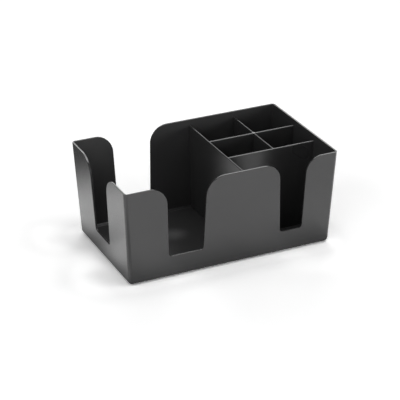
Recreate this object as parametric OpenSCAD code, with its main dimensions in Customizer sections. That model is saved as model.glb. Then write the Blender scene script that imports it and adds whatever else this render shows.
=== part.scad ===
// Bar caddy: an open-topped moulded tray that keeps folded napkins, straws, picks
// and stirrers tidy on a bar. Every outer wall leans outwards so that the tray
// leaves its mould. Notches in three walls let a hand reach the napkins, and a
// slot in the front wall shows what stands in the front compartment.
// Millimetres. X runs along the length, Y to the back, Z up from the table.

/* [Body] */
// Length over the rim
body_l = 240; // [200:1:300]
// Width over the rim
body_w = 145; // [125:1:180]
// Height of the rim above the table
body_h = 106; // [80:1:140]
// Lean of the outer walls from upright, in degrees
wall_draft = 2.8; // [1:0.1:5]
// Thickness of the outer walls
wall_t = 2; // [1.5:0.1:3]
// Thickness of the floor
floor_t = 2.6; // [2:0.1:4]
// Outside radius of the upright corners and of the bottom edge
corner_r = 4.5; // [3.5:0.1:7]
// Inside radius where the walls meet each other and the floor
inside_r = 1.2; // [0.6:0.1:3]

/* [Napkin notches] */
// Width of a napkin notch at its sill
notch_w = 38.6; // [30:0.2:50]
// Radius that leads from a napkin notch into the rim
notch_rim_r = 20.5; // [12:0.5:24]

/* [Front slot] */
// Width of the front slot at its sill
slot_w = 25.6; // [18:0.2:32]
// Radius that leads from the front slot into the rim
slot_rim_r = 18; // [10:0.5:20]

/* [Notches and slot] */
// Height of every sill above the table
sill_h = 25; // [15:0.5:40]
// Radius of the corners at the sill
sill_r = 3.5; // [2:0.1:6]
// Lean of the sides of a notch from upright, in degrees
notch_flare = 2.1; // [0.5:0.1:4]

/* [Dividers] */
// Thickness of a divider just below its round top edge
divider_t = 1.8; // [1.2:0.1:2.2]
// Lean of each divider face from upright, in degrees
divider_draft = 0.25; // [0.1:0.05:0.6]
// Drop from the rim to the top edge of the dividers
divider_drop = 6.7; // [4:0.1:14]
// Distance of the main divider to the right of the middle of the caddy
main_divider_x = 16.7; // [5:0.1:30]
// Distance of the cross divider to the right of the middle of the caddy
cross_divider_x = 69.9; // [60:0.1:80]
// Distance of the rear divider behind the middle of the caddy
rear_divider_y = 22.6; // [16:0.1:30]
// Distance of the front divider before the middle of the caddy
front_divider_y = 22.6; // [16:0.1:30]
// Diameter of the flat pad at the top of the crossing, where an ejector pin pushes
pad_d = 3.8; // [3.4:0.1:5]
// Depth over which the pad narrows into the dividers
pad_h = 3; // [2:0.1:6]

/* [Feet] */
// Diameter of a rubber foot
foot_d = 12; // [8:0.5:16]
// Thickness of a rubber foot
foot_t = 2; // [1.5:0.1:3]
// Height that a foot stands proud of the base
foot_proud = 0.8; // [0.4:0.1:1.2]
// Distance of a foot's centre from the two edges of the base
foot_inset = 17; // [13:0.5:26]
// Radius of a foot's lower edge
foot_edge_r = 0.5; // [0.2:0.1:0.8]
// Gap round a foot in its recess
foot_clearance = 0.15; // [0.05:0.05:0.3]

/* [Hidden] */

$fn = 64;
// How far a cut runs past the material it removes
overrun = 1;
// How far a rounding cylinder or ball reaches past the faces that it joins
round_lap = 0.01;

shell_colour = [0.16, 0.16, 0.165];
divider_colour = [0.13, 0.13, 0.135];
foot_colour = [0.05, 0.05, 0.05];

// Outward run of a wall for each unit of height
wall_run = tan(wall_draft);
shell_h = body_h - foot_proud;
base_l = body_l - 2 * shell_h * wall_run;
base_w = body_w - 2 * shell_h * wall_run;
floor_z = foot_proud + floor_t;
cavity_l = base_l - 2 * wall_t + 2 * floor_t * wall_run;
cavity_w = base_w - 2 * wall_t + 2 * floor_t * wall_run;

divider_top = body_h - divider_drop;
crossing_z = (floor_z + divider_top) / 2;
// The round top edge meets each leaning face without a step
divider_top_r = divider_t / 2;
round_z = divider_top - divider_top_r;
tangent_z = round_z + divider_top_r * sin(divider_draft);
tangent_half = divider_top_r * cos(divider_draft);
// A divider that ends at another reaches this close to the other one's middle
meeting_gap = divider_top_r / 2;

// The main divider's left face parts the length into two stretches. The napkin
// notches lie at the middle of the left one, the slot at the middle of the right
main_face_x = main_divider_x - divider_top_r;
napkin_x = (main_face_x - body_l / 2) / 2;
slot_x = (main_face_x + body_l / 2) / 2;

// Depth that a cut needs to pass through a leaning wall from its sill to the rim
wall_depth = wall_t + (body_h - sill_h) * wall_run;

foot_x = base_l / 2 - foot_inset;
foot_y = base_w / 2 - foot_inset;

// Section of a block that leans outwards
module leaning_section(foot_w, height) {
    top_w = foot_w + 2 * height * wall_run;
    polygon([[-foot_w / 2, 0], [foot_w / 2, 0], [top_w / 2, height], [-top_w / 2, height]]);
}

// What rounding takes off an edge, as a section through it: the wedge between
// two outward directions, less a circle round the wedge's tip
module round_waste(edge_r, from_turn, to_turn) {
    reach = 2 * edge_r;
    from_point = reach * [cos(from_turn), sin(from_turn)];
    to_point = reach * [cos(to_turn), sin(to_turn)];
    difference() {
        polygon([[0, 0], from_point, from_point + to_point, to_point]);
        circle(edge_r);
    }
}

// What rounding takes off one corner: along its leaning upright edge, and at
// its toe outside a ball. The ball's centre is the origin.
module corner_waste(height, edge_r) {
    edge_tilt = atan(wall_run * sqrt(2));
    // Half the angle between the outward directions of the two walls
    half_turn = acos(sin(wall_draft) * sin(wall_draft)) / 2;
    reach = 2 * edge_r;
    rotate([0, edge_tilt, 45])
        linear_extrude(height + overrun)
            round_waste(edge_r, -half_turn, half_turn);
    difference() {
        translate([0, 0, -reach])
            cube([reach, reach, 2 * reach]);
        rotate([0, edge_tilt, 45])
            translate([-2 * reach, -2 * reach, 0])
                cube([4 * reach, 4 * reach, 4 * reach]);
        sphere(edge_r);
    }
}

// A block that stands on z = 0 and leans outwards on all four sides, with one
// radius on its upright corners and its bottom edge
module leaning_block(foot_l, foot_w, height, edge_r) {
    ball_z = edge_r - round_lap;
    ball_inset = ball_z / cos(wall_draft) - ball_z * wall_run;
    ball_x = foot_l / 2 - ball_inset;
    ball_y = foot_w / 2 - ball_inset;
    top_l = foot_l + 2 * height * wall_run;
    top_w = foot_w + 2 * height * wall_run;
    difference() {
        intersection() {
            rotate([90, 0, 0])
                linear_extrude(top_w, center = true)
                    leaning_section(foot_l, height);
            rotate([90, 0, 90])
                linear_extrude(top_l, center = true)
                    leaning_section(foot_w, height);
        }
        for (side = [0, 1])
            mirror([side, 0, 0])
                translate([ball_x, 0, ball_z])
                    rotate([90, 0, 0])
                        linear_extrude(top_w, center = true)
                            round_waste(edge_r, -90, -wall_draft);
        for (side = [0, 1])
            mirror([0, side, 0])
                translate([0, ball_y, ball_z])
                    rotate([90, 0, 90])
                        linear_extrude(top_l, center = true)
                            round_waste(edge_r, -90, -wall_draft);
        for (x_side = [0, 1], y_side = [0, 1])
            mirror([x_side, 0, 0])
                mirror([0, y_side, 0])
                    translate([ball_x, ball_y, ball_z])
                        corner_waste(height, edge_r);
    }
}

// The space inside the walls, from the floor to above the rim
module cavity() {
    translate([0, 0, floor_z])
        leaning_block(cavity_l, cavity_w, shell_h - floor_t + overrun, inside_r);
}

// Outline of a notch: a sill with round corners, sides that flare, and round
// leads into the rim
module notch_outline(sill_w, rim_r) {
    flare_run = tan(notch_flare);
    corner_x = sill_w / 2 + sill_r * flare_run - sill_r / cos(notch_flare);
    low_x = corner_x + sill_r * cos(notch_flare);
    low_z = sill_h + sill_r - sill_r * sin(notch_flare);
    lead_z = body_h - rim_r;
    lead_x = sill_w / 2 + (lead_z - sill_h) * flare_run + rim_r / cos(notch_flare);
    high_x = lead_x - rim_r * cos(notch_flare);
    high_z = lead_z + rim_r * sin(notch_flare);
    top_z = body_h + overrun;
    difference() {
        union() {
            polygon([
                [-corner_x, sill_h], [corner_x, sill_h], [low_x, low_z], [high_x, high_z],
                [lead_x, high_z], [lead_x, top_z], [-lead_x, top_z], [-lead_x, high_z],
                [-high_x, high_z], [-low_x, low_z]
            ]);
            for (side = [-1, 1])
                translate([side * corner_x, sill_h + sill_r])
                    circle(sill_r);
        }
        for (side = [-1, 1])
            translate([side * lead_x, lead_z])
                circle(rim_r);
    }
}

// A notch cut through the wall that faces -Y, whose rim lies at distance out
module notch_cut(sill_w, rim_r, out) {
    translate([0, wall_depth + overrun - out, 0])
        rotate([90, 0, 0])
            linear_extrude(wall_depth + 2 * overrun)
                notch_outline(sill_w, rim_r);
}

module foot_place(x_side, y_side) {
    translate([x_side * foot_x, y_side * foot_y, 0])
        children();
}

module caddy_shell() {
    color(shell_colour)
        difference() {
            translate([0, 0, foot_proud])
                leaning_block(base_l, base_w, shell_h, corner_r);
            cavity();
            translate([napkin_x, 0, 0])
                notch_cut(notch_w, notch_rim_r, body_w / 2);
            translate([napkin_x, 0, 0])
                rotate([0, 0, 180])
                    notch_cut(notch_w, notch_rim_r, body_w / 2);
            rotate([0, 0, -90])
                notch_cut(notch_w, notch_rim_r, body_l / 2);
            translate([slot_x, 0, 0])
                notch_cut(slot_w, slot_rim_r, body_w / 2);
            for (x_side = [-1, 1], y_side = [-1, 1])
                foot_place(x_side, y_side)
                    cylinder(h = foot_t, d = foot_d + 2 * foot_clearance);
        }
}

// Section between a divider's two leaning faces, up to a given height
module divider_sides(top_z) {
    foot_half = tangent_half + (tangent_z - floor_z) * tan(divider_draft);
    top_half = tangent_half + (tangent_z - top_z) * tan(divider_draft);
    polygon([[-foot_half, floor_z], [foot_half, floor_z], [top_half, top_z], [-top_half, top_z]]);
}

module divider_section() {
    divider_sides(tangent_z);
    translate([0, round_z])
        circle(divider_top_r);
}

// Places a section so that it stands across the caddy, from y = from_y to the back
module across_plate(x, from_y) {
    translate([x, body_w / 2, 0])
        rotate([90, 0, 0])
            linear_extrude(body_w / 2 - from_y)
                children();
}

// Places a section so that it stands along the caddy, from x = from_x to the right
module along_plate(y, from_x) {
    translate([from_x, y, 0])
        rotate([90, 0, 90])
            linear_extrude(body_l / 2 - from_x)
                children();
}

module main_plate() {
    across_plate(main_divider_x, -body_w / 2)
        divider_section();
}

module rear_plate() {
    along_plate(rear_divider_y, main_divider_x + meeting_gap)
        divider_section();
}

module front_plate() {
    along_plate(-front_divider_y, main_divider_x + meeting_gap)
        divider_section();
}

module cross_plate() {
    across_plate(cross_divider_x, meeting_gap - front_divider_y)
        divider_section();
}

// A cone at the crossing, wide at the top, that ends within the dividers' thickness
module ejector_pad() {
    translate([cross_divider_x, rear_divider_y, divider_top - pad_h])
        cylinder(h = pad_h, d1 = divider_t, d2 = pad_d);
}

module main_divider() {
    color(divider_colour)
        intersection() {
            main_plate();
            cavity();
        }
}

// The rear divider has a slot from its top to half its height for the cross divider
module rear_divider() {
    color(divider_colour)
        difference() {
            intersection() {
                rear_plate();
                cavity();
            }
            main_plate();
            intersection() {
                across_plate(cross_divider_x, 0)
                    divider_sides(body_h);
                translate([main_divider_x, 0, crossing_z])
                    cube([body_l, body_w, body_h]);
            }
            ejector_pad();
        }
}

module front_divider() {
    color(divider_colour)
        difference() {
            intersection() {
                front_plate();
                cavity();
            }
            main_plate();
        }
}

// The cross divider has a slot from its foot to half its height for the rear divider
module cross_divider() {
    color(divider_colour)
        difference() {
            union() {
                intersection() {
                    cross_plate();
                    cavity();
                }
                ejector_pad();
            }
            front_plate();
            intersection() {
                along_plate(rear_divider_y, main_divider_x)
                    divider_sides(body_h);
                translate([main_divider_x, 0, 0])
                    cube([body_l, body_w, crossing_z]);
            }
        }
}

// A flat rubber disc with its lower edge rounded
module foot(x_side, y_side) {
    color(foot_colour)
        foot_place(x_side, y_side)
            rotate_extrude() {
                square([foot_d / 2 - foot_edge_r, foot_t]);
                translate([0, foot_edge_r])
                    square([foot_d / 2, foot_t - foot_edge_r]);
                translate([foot_d / 2 - foot_edge_r, foot_edge_r])
                    circle(foot_edge_r);
            }
}

caddy_shell();
main_divider();
rear_divider();
front_divider();
cross_divider();
foot(-1, -1);  // foot_front_left
foot(1, -1);  // foot_front_right
foot(-1, 1);  // foot_rear_left
foot(1, 1);  // foot_rear_right
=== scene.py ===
"""Looks of the bar caddy round its CAD model: finishes, rounded edges, table, studio light and camera."""
import math

import bpy
from mathutils import Matrix, Vector

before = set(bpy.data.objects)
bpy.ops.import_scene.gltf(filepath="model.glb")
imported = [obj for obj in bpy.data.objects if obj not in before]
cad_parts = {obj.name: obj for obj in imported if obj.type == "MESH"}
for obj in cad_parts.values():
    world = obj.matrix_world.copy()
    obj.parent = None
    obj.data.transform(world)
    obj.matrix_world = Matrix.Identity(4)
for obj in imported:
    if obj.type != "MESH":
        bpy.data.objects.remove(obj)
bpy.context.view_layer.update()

# Camera, at the photograph's viewing angle: places in metres, sensor and lens in millimetres
AIM = Vector((-0.0048, -0.0004, 0.0450))
DISTANCE = 1.7295
AZIMUTH = math.radians(-25.06)
ELEVATION = math.radians(26.09)
ROLL = math.radians(-0.26)
SENSOR_WIDTH = 36.0
LENS = 147.19
CLIP_NEAR = 0.01
CLIP_FAR = 50.0

# Rounding of the moulded edges, in metres
LIP_RADIUS = 0.00030
EDGE_SEGMENTS = 3
EDGE_ANGLE = math.radians(35)
FLAT_ANGLE = math.radians(0.5)
WELD_DISTANCE = 0.00001
FLAT_WEIGHT = 100

# Table: half its size in metres, and how pale it is for the light, for the camera and in reflections
TABLE_REACH = 6.0
TABLE_PALE = 0.80
TABLE_SEEN = 1.245
TABLE_BRIGHT = 1.85
TABLE_DIM = 0.20

# Lit part of the table as reflections see it: its middle, and where it begins and ends to go dim, in metres
LIT_CENTRE = (0.05, -0.15, 0)
LIT_NEAR = 0.325
LIT_FAR = 0.455

# Where the table goes over to plain white for the camera, in metres from the caddy's middle
WHITE_FROM = 0.5
WHITE_TO = 1.0

# Table along the caddy's base: painted shade in reflections, painted light for the camera, and how far that
# reaches
BASE_HALF = (0.1148, 0.0673, 1.0)
SHADE_REACH = (0.015, 0.060, 1.0)
SHADE_AT_BASE = 0.36
SEEN_REACH = (0.018, 0.018, 1.0)
SEEN_AT_BASE = 1.25

# Painted light and shade on the table in reflections, as (centre, reach, change)
SPOT_SOFTNESS = 0.6
MIRRORED_SPOTS = (
    ((-0.074, -0.085, 0), (0.030, 0.040, 1), 0.25),
    ((0.052, -0.085, 0), (0.030, 0.040, 1), 0.20),
    ((-0.180, -0.125, 0), (0.085, 0.075, 1), -0.42),
    ((0.165, -0.205, 0), (0.080, 0.070, 1), -0.10),
    ((-0.122, -0.006, 0), (0.012, 0.030, 1), 0.20),
    ((-0.134, 0.043, 0), (0.024, 0.026, 1), -0.18),
    ((-0.126, 0.086, 0), (0.016, 0.030, 1), 0.10),
)

# Painted light on the table for the camera, lightening the caddy's shadow
SEEN_SPOTS = (
    ((-0.138, -0.036, 0), (0.034, 0.050, 1), 0.20),
    ((-0.145, 0.066, 0), (0.032, 0.044, 1), 0.13),
    ((0.090, -0.100, 0), (0.060, 0.035, 1), 0.07),
)

# Inner side of the walls and the floor, which is duller: half sizes in metres, and the walls' slope
INSIDE = {"Half Length": 0.1129, "Half Width": 0.0654, "Lean": 0.0489, "Floor": 0.0018}
INSIDE_ROUGHNESS = 0.42

# Painted highlight along the line where the floor meets the back wall, and painted light on the napkin
# compartment's floor
EDGE_HIGHLIGHT_SHAPE = {"Reach": (0.055, 0.0016, 0.0014), "Softness": 0.6, "Raggedness": 0.6, "Detail Size": 0.006}
EDGE_HIGHLIGHT_PLACES = (
    ((-0.092, 0.0652, 0.0054), (0.28, 0.28, 0.282, 1)),
    ((-0.020, 0.0650, 0.0052), (0.09, 0.09, 0.091, 1)),
)
FLOOR_LIGHT_PATCH = {
    "Centre": (-0.029, 0.0135, 0.0034), "Reach": (0.020, 0.019, 0.02),
    "Softness": 1.0, "Raggedness": 0.35, "Detail Size": 0.005,
}
LIGHT_PATCH_SHARE = 0.9
LIGHT_PATCH_COLOUR = (0.095, 0.095, 0.096, 1)

# Rim: the walls' outer skin, a painted highlight on the arc where the left notch leaves the rim, and the
# duller sills of notch and slot
WALL_SKIN = {"Half Length": 0.1147, "Half Width": 0.0672, "Lean": 0.0489, "Floor": 0.0018}
ARC_HIGHLIGHT = {"Centre": (-0.1190, 0.0370, 0.1025), "Reach": (0.004, 0.0120, 0.0070), "Softness": 0.5}
ARC_HIGHLIGHT_COLOUR = (0.24, 0.24, 0.242, 1)
SILLS = (
    {"Centre": (-0.0521, -0.0690, 0.0286), "Reach": (0.0220, 0.004, 0.002), "Softness": 0.3},
    {"Centre": (0.0679, -0.0690, 0.0286), "Reach": (0.0150, 0.004, 0.002), "Softness": 0.3},
)
SILL_ROUGHNESS = 0.75

# Painted highlights: on the face of the pad where the dividers cross, and on the rounded tops of the long
# dividers and the main divider
CROSSING_HIGHLIGHT = {"Centre": (0.0699, 0.0226, 0.0993), "Reach": (0.002, 0.002, 0.0006), "Softness": 0.3}
CROSSING_HIGHLIGHT_COLOUR = (0.17, 0.17, 0.172, 1)
TOP_HIGHLIGHT_FROM = 0.0986
TOP_HIGHLIGHT_TO = 0.0990
TOP_HIGHLIGHT_COLOUR = (0.19, 0.19, 0.192, 1)
LONG_TOP_HIGHLIGHT = 0.9
MAIN_TOP_HIGHLIGHT = 0.02

# Studio walls, for the light and for the camera, and soft boxes as (name, centre, width, length, level)
WALL_FILL = 0.02
WALL_SEEN = 1.0
SOFT_BOXES = (
    ("box_above", (0.32, -0.14, 1.40), 0.9, 1.1, 3.0),
    ("box_above_left", (-0.30, 0.35, 1.32), 0.7, 0.7, 0.6),
    ("box_behind", (0.40, 1.12, 0.76), 1.1, 0.6, 2.9),
    ("box_left", (-1.05, 0.10, 0.95), 0.7, 0.6, 2.4),
    ("box_front_left", (-0.84, -0.84, 0.79), 0.7, 0.6, 2.25),
    ("box_front", (0.14, -1.19, 0.77), 0.7, 0.6, 0.6),
    ("strip_behind", (0.00, 1.38, 0.25), 1.0, 0.4, 1.7),
    ("strip_front_left", (-0.98, -0.98, 0.25), 1.0, 0.4, 2.2),
    ("strip_front", (0.00, -1.38, 0.25), 1.0, 0.4, 1.2),
    ("strip_front_right", (0.98, -0.98, 0.25), 1.0, 0.4, 5.4),
)

# Noise of the grain, the patches of polish and the ragged marks, and the range that the patches spread over
GRAIN_NOISE = {"Detail": 3.0, "Roughness": 0.6}
PATCH_NOISE = {"Detail": 1.0}
MARK_NOISE = {"Detail": 4.0, "Roughness": 0.6}
PATCH_RANGE = {"From Min": 0.3, "From Max": 0.7}
NOISE_MIDDLE = 0.5

# Finishes: low and high tone, height of the grain, refraction, and the values of the moulded skin
SHELL_FINISH = (
    (0.026, 0.026, 0.0265, 1), (0.030, 0.030, 0.0305, 1), 0.00002, 1.5,
    {"Grain Size": 0.0005, "Patch Size": 0.05, "Roughness Low": 0.18, "Roughness High": 0.24},
)
DIVIDER_FINISH = (
    (0.026, 0.026, 0.0265, 1), (0.030, 0.030, 0.0305, 1), 0.00002, 1.5,
    {"Grain Size": 0.0005, "Patch Size": 0.04, "Roughness Low": 0.27, "Roughness High": 0.31},
)
RUBBER_FINISH = (
    (0.012, 0.012, 0.012, 1), (0.02, 0.02, 0.02, 1), 0.00005, 1.45,
    {"Grain Size": 0.0004, "Patch Size": 0.006, "Roughness Low": 0.7, "Roughness High": 0.85},
)

SHELL_NODES = ("caddy_shell",)
LONG_DIVIDER_NODES = ("rear_divider", "front_divider")
MAIN_DIVIDER_NODES = ("main_divider",)
CROSS_DIVIDER_NODES = ("cross_divider",)
FOOT_NODES = ("foot_front_left", "foot_front_right", "foot_rear_left", "foot_rear_right")


def add_node(tree, kind, inputs=None, **settings):
    """A shader node with its settings and the values of its unlinked inputs."""
    node = tree.nodes.new(kind)
    for name, value in settings.items():
        setattr(node, name, value)
    for name, value in (inputs or {}).items():
        node.inputs[name].default_value = value
    return node


def new_group(name, inputs, outputs):
    """An empty shader node group with named inputs and outputs, and its two end nodes."""
    group = bpy.data.node_groups.new(name, "ShaderNodeTree")
    for socket_name, kind, value in inputs:
        socket = group.interface.new_socket(socket_name, in_out="INPUT", socket_type=kind)
        if value is not None:
            socket.default_value = value
    for socket_name, kind in outputs:
        group.interface.new_socket(socket_name, in_out="OUTPUT", socket_type=kind)
    return group, group.nodes.new("NodeGroupInput"), group.nodes.new("NodeGroupOutput")


def moulded_skin_group():
    """The skin that a mould gives: fine grain for the bump, and wide patches of more and less polish."""
    group, given, made = new_group(
        "moulded_skin",
        [
            ("Vector", "NodeSocketVector", None),
            ("Grain Size", "NodeSocketFloat", 0.0004),
            ("Patch Size", "NodeSocketFloat", 0.05),
            ("Roughness Low", "NodeSocketFloat", 0.3),
            ("Roughness High", "NodeSocketFloat", 0.4),
        ],
        [("Height", "NodeSocketFloat"), ("Roughness", "NodeSocketFloat"), ("Patches", "NodeSocketFloat")],
    )
    link = group.links.new
    grain_scale = add_node(group, "ShaderNodeMath", {0: 1.0}, operation="DIVIDE")
    link(given.outputs["Grain Size"], grain_scale.inputs[1])
    grain = add_node(group, "ShaderNodeTexNoise", GRAIN_NOISE, noise_dimensions="3D")
    link(given.outputs["Vector"], grain.inputs["Vector"])
    link(grain_scale.outputs[0], grain.inputs["Scale"])
    patch_scale = add_node(group, "ShaderNodeMath", {0: 1.0}, operation="DIVIDE")
    link(given.outputs["Patch Size"], patch_scale.inputs[1])
    patches = add_node(group, "ShaderNodeTexNoise", PATCH_NOISE, noise_dimensions="3D")
    link(given.outputs["Vector"], patches.inputs["Vector"])
    link(patch_scale.outputs[0], patches.inputs["Scale"])
    spread = add_node(group, "ShaderNodeMapRange", PATCH_RANGE)
    link(patches.outputs["Fac"], spread.inputs["Value"])
    link(given.outputs["Roughness Low"], spread.inputs["To Min"])
    link(given.outputs["Roughness High"], spread.inputs["To Max"])
    link(grain.outputs["Fac"], made.inputs["Height"])
    link(spread.outputs["Result"], made.inputs["Roughness"])
    link(patches.outputs["Fac"], made.inputs["Patches"])
    return group


def inside_group():
    """1 between four leaning walls and above a floor, 0 outside them."""
    group, given, made = new_group(
        "inside_of_the_tray",
        [
            ("Vector", "NodeSocketVector", None),
            ("Half Length", "NodeSocketFloat", 0.11),
            ("Half Width", "NodeSocketFloat", 0.06),
            ("Lean", "NodeSocketFloat", 0.05),
            ("Floor", "NodeSocketFloat", 0.002),
        ],
        [("Mask", "NodeSocketFloat")],
    )
    link = group.links.new
    corner = add_node(group, "ShaderNodeVectorMath", operation="ABSOLUTE")
    link(given.outputs["Vector"], corner.inputs[0])
    parts = group.nodes.new("ShaderNodeSeparateXYZ")
    link(corner.outputs["Vector"], parts.inputs[0])
    between_walls = []
    for axis, half in (("X", "Half Length"), ("Y", "Half Width")):
        wall = add_node(group, "ShaderNodeMath", operation="MULTIPLY_ADD")
        link(parts.outputs["Z"], wall.inputs[0])
        link(given.outputs["Lean"], wall.inputs[1])
        link(given.outputs[half], wall.inputs[2])
        inner = add_node(group, "ShaderNodeMath", operation="LESS_THAN")
        link(parts.outputs[axis], inner.inputs[0])
        link(wall.outputs["Value"], inner.inputs[1])
        between_walls.append(inner)
    above = add_node(group, "ShaderNodeMath", operation="GREATER_THAN")
    link(parts.outputs["Z"], above.inputs[0])
    link(given.outputs["Floor"], above.inputs[1])
    both = add_node(group, "ShaderNodeMath", operation="MULTIPLY")
    link(between_walls[0].outputs["Value"], both.inputs[0])
    link(between_walls[1].outputs["Value"], both.inputs[1])
    mask = add_node(group, "ShaderNodeMath", operation="MULTIPLY")
    link(both.outputs["Value"], mask.inputs[0])
    link(above.outputs["Value"], mask.inputs[1])
    link(mask.outputs["Value"], made.inputs["Mask"])
    return group


def soft_spot_group():
    """A mark with a soft and, if asked, ragged outline round a centre: 1 in its middle, 0 outside."""
    group, given, made = new_group(
        "soft_spot",
        [
            ("Vector", "NodeSocketVector", None),
            ("Centre", "NodeSocketVector", None),
            ("Reach", "NodeSocketVector", None),
            ("Softness", "NodeSocketFloat", 0.5),
            ("Raggedness", "NodeSocketFloat", 0.0),
            ("Detail Size", "NodeSocketFloat", 0.005),
        ],
        [("Mask", "NodeSocketFloat")],
    )
    link = group.links.new
    shift = add_node(group, "ShaderNodeVectorMath", operation="SUBTRACT")
    link(given.outputs["Vector"], shift.inputs[0])
    link(given.outputs["Centre"], shift.inputs[1])
    scaled = add_node(group, "ShaderNodeVectorMath", operation="DIVIDE")
    link(shift.outputs["Vector"], scaled.inputs[0])
    link(given.outputs["Reach"], scaled.inputs[1])
    away = add_node(group, "ShaderNodeVectorMath", operation="LENGTH")
    link(scaled.outputs["Vector"], away.inputs[0])
    detail_scale = add_node(group, "ShaderNodeMath", {0: 1.0}, operation="DIVIDE")
    link(given.outputs["Detail Size"], detail_scale.inputs[1])
    cloud = add_node(group, "ShaderNodeTexNoise", MARK_NOISE, noise_dimensions="3D")
    link(given.outputs["Vector"], cloud.inputs["Vector"])
    link(detail_scale.outputs["Value"], cloud.inputs["Scale"])
    centred = add_node(group, "ShaderNodeMath", {1: NOISE_MIDDLE}, operation="SUBTRACT")
    link(cloud.outputs["Fac"], centred.inputs[0])
    ragged = add_node(group, "ShaderNodeMath", operation="MULTIPLY_ADD")
    link(centred.outputs["Value"], ragged.inputs[0])
    link(given.outputs["Raggedness"], ragged.inputs[1])
    link(away.outputs["Value"], ragged.inputs[2])
    core = add_node(group, "ShaderNodeMath", {0: 1.0}, operation="SUBTRACT")
    link(given.outputs["Softness"], core.inputs[1])
    fade = add_node(
        group, "ShaderNodeMapRange", {"From Max": 1.0, "To Min": 1.0, "To Max": 0.0},
        interpolation_type="SMOOTHSTEP",
    )
    link(ragged.outputs["Value"], fade.inputs["Value"])
    link(core.outputs["Value"], fade.inputs["From Min"])
    link(fade.outputs["Result"], made.inputs["Mask"])
    return group


def place_group(tree, group, values):
    """A group node on Object coordinates, with its own values."""
    node = tree.nodes.new("ShaderNodeGroup")
    node.node_tree = group
    coordinates = tree.nodes.new("ShaderNodeTexCoord")
    tree.links.new(coordinates.outputs["Object"], node.inputs["Vector"])
    for name, value in values.items():
        node.inputs[name].default_value = value
    return node


def moulded_material(name, skin, finish):
    """A moulded plastic or rubber: two close tones, patches of polish and a fine grain."""
    low_colour, high_colour, grain_height, ior, values = finish
    material = bpy.data.materials.new(name)
    material.use_nodes = True
    tree = material.node_tree
    link = tree.links.new
    surface = tree.nodes["Principled BSDF"]
    surface.inputs["IOR"].default_value = ior
    texture = place_group(tree, skin, values)
    tones = add_node(tree, "ShaderNodeMix", data_type="RGBA")
    tones.inputs["A"].default_value = low_colour
    tones.inputs["B"].default_value = high_colour
    link(texture.outputs["Patches"], tones.inputs["Factor"])
    link(tones.outputs["Result"], surface.inputs["Base Color"])
    link(texture.outputs["Roughness"], surface.inputs["Roughness"])
    bump = add_node(tree, "ShaderNodeBump", {"Strength": 1.0, "Distance": grain_height})
    link(texture.outputs["Height"], bump.inputs["Height"])
    link(bump.outputs["Normal"], surface.inputs["Normal"])
    return material


def entering(surface, name):
    """The socket that feeds an input of the surface now."""
    return surface.inputs[name].links[0].from_socket


def blend_in(material, mask, name, value):
    """Moves one input of a material toward another value or colour, by a mask."""
    tree = material.node_tree
    surface = tree.nodes["Principled BSDF"]
    before = entering(surface, name)
    is_colour = name == "Base Color"
    mix = add_node(tree, "ShaderNodeMix", data_type="RGBA" if is_colour else "FLOAT")
    mix.inputs["B"].default_value = value
    tree.links.new(mask, mix.inputs["Factor"])
    tree.links.new(before, mix.inputs["A"])
    tree.links.new(mix.outputs["Result"], surface.inputs[name])


def scaled_mask(material, mask, share):
    """A share of a mask."""
    product = add_node(material.node_tree, "ShaderNodeMath", {1: share}, operation="MULTIPLY")
    material.node_tree.links.new(mask, product.inputs[0])
    return product.outputs["Value"]


def roughen_inside(material, inside):
    """The core side of the mould leaves a duller skin on the inside."""
    hollow = place_group(material.node_tree, inside, INSIDE)
    blend_in(material, hollow.outputs["Mask"], "Roughness", INSIDE_ROUGHNESS)


def paint_floor_edge_highlight(material, spot):
    """A painted highlight: a thin, uneven pale line along the napkin compartment's floor, under the back
    wall.
    """
    for centre, colour in EDGE_HIGHLIGHT_PLACES:
        line = place_group(material.node_tree, spot, {"Centre": centre, **EDGE_HIGHLIGHT_SHAPE})
        blend_in(material, line.outputs["Mask"], "Base Color", colour)


def paint_floor_light_patch(material, spot):
    """Painted light: a pale, ragged patch on the napkin compartment's floor."""
    cloud = place_group(material.node_tree, spot, FLOOR_LIGHT_PATCH)
    blend_in(material, scaled_mask(material, cloud.outputs["Mask"], LIGHT_PATCH_SHARE), "Base Color", LIGHT_PATCH_COLOUR)


def rim_mask(material, inside, spot, place):
    """A soft place on the rim: only within the wall, between its outer and inner skin."""
    tree = material.node_tree
    filled = place_group(tree, inside, WALL_SKIN)
    hollow = place_group(tree, inside, INSIDE)
    rim = add_node(tree, "ShaderNodeMath", operation="SUBTRACT")
    tree.links.new(filled.outputs["Mask"], rim.inputs[0])
    tree.links.new(hollow.outputs["Mask"], rim.inputs[1])
    near = place_group(tree, spot, place)
    both = add_node(tree, "ShaderNodeMath", operation="MULTIPLY")
    tree.links.new(rim.outputs["Value"], both.inputs[0])
    tree.links.new(near.outputs["Mask"], both.inputs[1])
    return both.outputs["Value"]


def highlight_arc_and_dull_sills(material, inside, spot):
    """A painted highlight where the left notch leaves the rim, and duller sills in the front notch and
    slot.
    """
    blend_in(material, rim_mask(material, inside, spot, ARC_HIGHLIGHT), "Base Color", ARC_HIGHLIGHT_COLOUR)
    for sill in SILLS:
        blend_in(material, rim_mask(material, inside, spot, sill), "Roughness", SILL_ROUGHNESS)


def paint_crossing_highlight(material, spot):
    """A painted highlight: a pale face on the pad where the dividers cross."""
    crossing_glint = place_group(material.node_tree, spot, CROSSING_HIGHLIGHT)
    blend_in(material, crossing_glint.outputs["Mask"], "Base Color", CROSSING_HIGHLIGHT_COLOUR)


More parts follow.
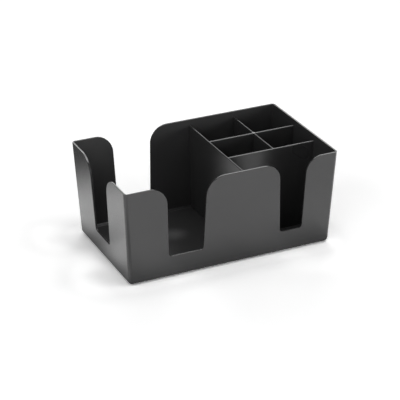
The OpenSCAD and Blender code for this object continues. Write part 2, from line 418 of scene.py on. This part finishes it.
def paint_top_highlight(material, share):
    """Painted highlight: paler colour on the rounded top edge of a divider."""
    tree = material.node_tree
    coordinates = tree.nodes.new("ShaderNodeTexCoord")
    parts = tree.nodes.new("ShaderNodeSeparateXYZ")
    tree.links.new(coordinates.outputs["Object"], parts.inputs[0])
    height = add_node(
        tree, "ShaderNodeMapRange", {"From Min": TOP_HIGHLIGHT_FROM, "From Max": TOP_HIGHLIGHT_TO},
        interpolation_type="SMOOTHSTEP",
    )
    tree.links.new(parts.outputs["Z"], height.inputs["Value"])
    blend_in(material, scaled_mask(material, height.outputs["Result"], share), "Base Color", TOP_HIGHLIGHT_COLOUR)


def dress(names, material):
    """Gives CAD nodes their material."""
    for name in names:
        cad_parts[name].material_slots[0].material = material


def round_edges(names):
    """Rounds the sharp edges of CAD nodes, on a closed copy of their triangles."""
    for name in names:
        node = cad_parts[name]
        weld = node.modifiers.new("merge_triangles", "WELD")
        weld.merge_threshold = WELD_DISTANCE
        flat = node.modifiers.new("join_flat_faces", "DECIMATE")
        flat.decimate_type = "DISSOLVE"
        flat.angle_limit = FLAT_ANGLE
        rounding = node.modifiers.new("round_edges", "BEVEL")
        rounding.width = LIP_RADIUS
        rounding.segments = EDGE_SEGMENTS
        rounding.limit_method = "ANGLE"
        rounding.angle_limit = EDGE_ANGLE
        rounding.use_clamp_overlap = False
        shading = node.modifiers.new("flat_faces_shade_flat", "WEIGHTED_NORMAL")
        shading.mode = "FACE_AREA"
        shading.weight = FLAT_WEIGHT


def table_ramp(tree, outside, reach, at_base):
    """A factor that goes from a value at the caddy's base to 1, over a reach of its own along x and y."""
    shares = add_node(tree, "ShaderNodeVectorMath", {1: reach}, operation="DIVIDE")
    tree.links.new(outside.outputs["Vector"], shares.inputs[0])
    gap = add_node(tree, "ShaderNodeVectorMath", operation="LENGTH")
    tree.links.new(shares.outputs["Vector"], gap.inputs[0])
    ramp = add_node(tree, "ShaderNodeMapRange", {"To Min": at_base, "To Max": 1.0})
    tree.links.new(gap.outputs["Value"], ramp.inputs["Value"])
    return ramp


def tint_spots(tree, spot, before, places):
    """A level made lighter or darker in soft places of the table."""
    level = before
    for centre, reach, change in places:
        place = place_group(tree, spot, {"Centre": centre, "Reach": reach, "Softness": SPOT_SOFTNESS})
        gain = add_node(tree, "ShaderNodeMath", {1: change, 2: 1.0}, operation="MULTIPLY_ADD")
        tree.links.new(place.outputs["Mask"], gain.inputs[0])
        tinted = add_node(tree, "ShaderNodeMath", operation="MULTIPLY")
        tree.links.new(level, tinted.inputs[0])
        tree.links.new(gain.outputs["Value"], tinted.inputs[1])
        level = tinted.outputs["Value"]
    return level


def past_the_base(tree, coordinates):
    """How far a place of the table lies outside the caddy's base, along x and along y."""
    one_corner = add_node(tree, "ShaderNodeVectorMath", operation="ABSOLUTE")
    tree.links.new(coordinates.outputs["Object"], one_corner.inputs[0])
    past_edge = add_node(tree, "ShaderNodeVectorMath", {1: BASE_HALF}, operation="SUBTRACT")
    tree.links.new(one_corner.outputs["Vector"], past_edge.inputs[0])
    outside = add_node(tree, "ShaderNodeVectorMath", {1: (0, 0, 0)}, operation="MAXIMUM")
    tree.links.new(past_edge.outputs["Vector"], outside.inputs[0])
    return outside


def mirrored_level(tree, coordinates, outside, spot):
    """The table in reflections: bright near the caddy, dim far from it, and shaded along its base."""
    distance = add_node(tree, "ShaderNodeVectorMath", {1: LIT_CENTRE}, operation="DISTANCE")
    tree.links.new(coordinates.outputs["Object"], distance.inputs[0])
    lit = add_node(
        tree, "ShaderNodeMapRange",
        {"From Min": LIT_NEAR, "From Max": LIT_FAR, "To Min": TABLE_BRIGHT, "To Max": TABLE_DIM},
        interpolation_type="SMOOTHSTEP",
    )
    tree.links.new(distance.outputs["Value"], lit.inputs["Value"])
    shade = table_ramp(tree, outside, SHADE_REACH, SHADE_AT_BASE)
    mirrored = add_node(tree, "ShaderNodeMath", operation="MULTIPLY")
    tree.links.new(lit.outputs["Result"], mirrored.inputs[0])
    tree.links.new(shade.outputs["Result"], mirrored.inputs[1])
    return tint_spots(tree, spot, mirrored.outputs["Value"], MIRRORED_SPOTS)


def camera_level(tree, outside, spot):
    """The table as the camera sees it: white, and lighter along the caddy's base."""
    lightened = table_ramp(tree, outside, SEEN_REACH, SEEN_AT_BASE)
    direct = add_node(tree, "ShaderNodeMath", {1: TABLE_SEEN}, operation="MULTIPLY")
    tree.links.new(lightened.outputs["Result"], direct.inputs[0])
    return tint_spots(tree, spot, direct.outputs["Value"], SEEN_SPOTS)


def far_for_camera(tree, coordinates, rays):
    """For camera rays, 0 near the caddy and 1 far from it; 0 for all other rays."""
    distance = add_node(tree, "ShaderNodeVectorMath", operation="LENGTH")
    tree.links.new(coordinates.outputs["Object"], distance.inputs[0])
    far = add_node(
        tree, "ShaderNodeMapRange", {"From Min": WHITE_FROM, "From Max": WHITE_TO},
        interpolation_type="SMOOTHSTEP",
    )
    tree.links.new(distance.outputs["Value"], far.inputs["Value"])
    seen_far = add_node(tree, "ShaderNodeMath", operation="MULTIPLY")
    tree.links.new(far.outputs["Result"], seen_far.inputs[0])
    tree.links.new(rays.outputs["Is Camera Ray"], seen_far.inputs[1])
    return seen_far.outputs["Value"]


def white_table_material(spot):
    """A pale, dull table: white to the camera and in reflections, and it keeps the caddy's shadow."""
    material = bpy.data.materials.new("white_table")
    material.use_nodes = True
    tree = material.node_tree
    link = tree.links.new
    output = tree.nodes["Material Output"]
    tree.nodes.remove(tree.nodes["Principled BSDF"])
    rays = tree.nodes.new("ShaderNodeLightPath")
    coordinates = tree.nodes.new("ShaderNodeTexCoord")
    outside = past_the_base(tree, coordinates)
    level = add_node(tree, "ShaderNodeMix", {"A": TABLE_PALE}, data_type="FLOAT")
    link(rays.outputs["Is Glossy Ray"], level.inputs["Factor"])
    link(mirrored_level(tree, coordinates, outside, spot), level.inputs["B"])
    seen = add_node(tree, "ShaderNodeMix", data_type="FLOAT")
    link(rays.outputs["Is Camera Ray"], seen.inputs["Factor"])
    link(level.outputs["Result"], seen.inputs["A"])
    link(camera_level(tree, outside, spot), seen.inputs["B"])
    grey = tree.nodes.new("ShaderNodeCombineColor")
    for channel in ("Red", "Green", "Blue"):
        link(seen.outputs["Result"], grey.inputs[channel])
    dull = tree.nodes.new("ShaderNodeBsdfDiffuse")
    link(grey.outputs["Color"], dull.inputs["Color"])
    white = add_node(tree, "ShaderNodeEmission", {"Color": (1, 1, 1, 1), "Strength": 1.0})
    surface = tree.nodes.new("ShaderNodeMixShader")
    link(far_for_camera(tree, coordinates, rays), surface.inputs["Fac"])
    link(dull.outputs["BSDF"], surface.inputs[1])
    link(white.outputs["Emission"], surface.inputs[2])
    link(surface.outputs["Shader"], output.inputs["Surface"])
    return material


def make_table(spot):
    """A wide table top under the caddy."""
    corners = [(-TABLE_REACH, -TABLE_REACH, 0), (TABLE_REACH, -TABLE_REACH, 0)]
    corners += [(TABLE_REACH, TABLE_REACH, 0), (-TABLE_REACH, TABLE_REACH, 0)]
    mesh = bpy.data.meshes.new("table_top")
    mesh.from_pydata(corners, [], [(0, 1, 2, 3)])
    mesh.materials.append(white_table_material(spot))
    table = bpy.data.objects.new("table_top", mesh)
    bpy.context.scene.collection.objects.link(table)


def make_world():
    """A studio: plain white behind the table for the camera, and a dim room for all other rays."""
    world = bpy.data.worlds.new("studio")
    bpy.context.scene.world = world
    world.use_nodes = True
    tree = world.node_tree
    rays = tree.nodes.new("ShaderNodeLightPath")
    level = add_node(tree, "ShaderNodeMix", {"A": WALL_FILL, "B": WALL_SEEN}, data_type="FLOAT")
    tree.links.new(rays.outputs["Is Camera Ray"], level.inputs["Factor"])
    background = tree.nodes["Background"]
    background.inputs["Color"].default_value = (1, 1, 1, 1)
    tree.links.new(level.outputs["Result"], background.inputs["Strength"])


def make_soft_box(name, centre, width, length, level):
    """A soft box of even radiance, aimed at the caddy and out of the camera's sight."""
    data = bpy.data.lights.new(name, "AREA")
    data.shape = "RECTANGLE"
    data.size = width
    data.size_y = length
    data.energy = level * math.pi * width * length
    light = bpy.data.objects.new(name, data)
    light.location = centre
    light.rotation_mode = "QUATERNION"
    light.rotation_quaternion = (AIM - Vector(centre)).to_track_quat("-Z", "Y")
    light.visible_camera = False
    bpy.context.scene.collection.objects.link(light)


def make_camera():
    """The photograph's camera: a long lens, turned and tilted as measured."""
    data = bpy.data.cameras.new("camera")
    data.sensor_width = SENSOR_WIDTH
    data.lens = LENS
    data.clip_start = CLIP_NEAR
    data.clip_end = CLIP_FAR
    back = Vector((
        math.sin(AZIMUTH) * math.cos(ELEVATION),
        -math.cos(AZIMUTH) * math.cos(ELEVATION),
        math.sin(ELEVATION),
    ))
    level_right = Vector((math.cos(AZIMUTH), math.sin(AZIMUTH), 0))
    level_up = back.cross(level_right)
    right = level_right * math.cos(ROLL) + level_up * math.sin(ROLL)
    up = back.cross(right)
    turn = Matrix((right, up, back)).transposed()
    camera = bpy.data.objects.new("camera", data)
    camera.matrix_world = Matrix.Translation(AIM + back * DISTANCE) @ turn.to_4x4()
    bpy.context.scene.collection.objects.link(camera)
    bpy.context.scene.camera = camera


bpy.context.scene.view_settings.view_transform = "Standard"
make_camera()
make_world()
for soft_box in SOFT_BOXES:
    make_soft_box(*soft_box)

skin = moulded_skin_group()
inside = inside_group()
spot = soft_spot_group()
make_table(spot)

shell_plastic = moulded_material("satin_black_shell", skin, SHELL_FINISH)
roughen_inside(shell_plastic, inside)
# Painted highlight on the rim's arc at the left notch, and duller sills
highlight_arc_and_dull_sills(shell_plastic, inside, spot)
# Painted highlight where the napkin compartment's floor meets the back wall
paint_floor_edge_highlight(shell_plastic, spot)
# Painted patch of light on the napkin compartment's floor
paint_floor_light_patch(shell_plastic, spot)
dress(SHELL_NODES, shell_plastic)

long_divider_plastic = moulded_material("satin_black_long_dividers", skin, DIVIDER_FINISH)
# Painted highlight on the rounded tops of the long dividers
paint_top_highlight(long_divider_plastic, LONG_TOP_HIGHLIGHT)
dress(LONG_DIVIDER_NODES, long_divider_plastic)

main_divider_plastic = moulded_material("satin_black_main_divider", skin, DIVIDER_FINISH)
# A faint painted highlight on the rounded top of the main divider
paint_top_highlight(main_divider_plastic, MAIN_TOP_HIGHLIGHT)
dress(MAIN_DIVIDER_NODES, main_divider_plastic)

cross_divider_plastic = moulded_material("satin_black_cross_divider", skin, DIVIDER_FINISH)
# Painted highlight on the pad where the dividers cross
paint_crossing_highlight(cross_divider_plastic, spot)
dress(CROSS_DIVIDER_NODES, cross_divider_plastic)

foot_rubber = moulded_material("black_rubber", skin, RUBBER_FINISH)
dress(FOOT_NODES, foot_rubber)

round_edges(SHELL_NODES + FOOT_NODES)
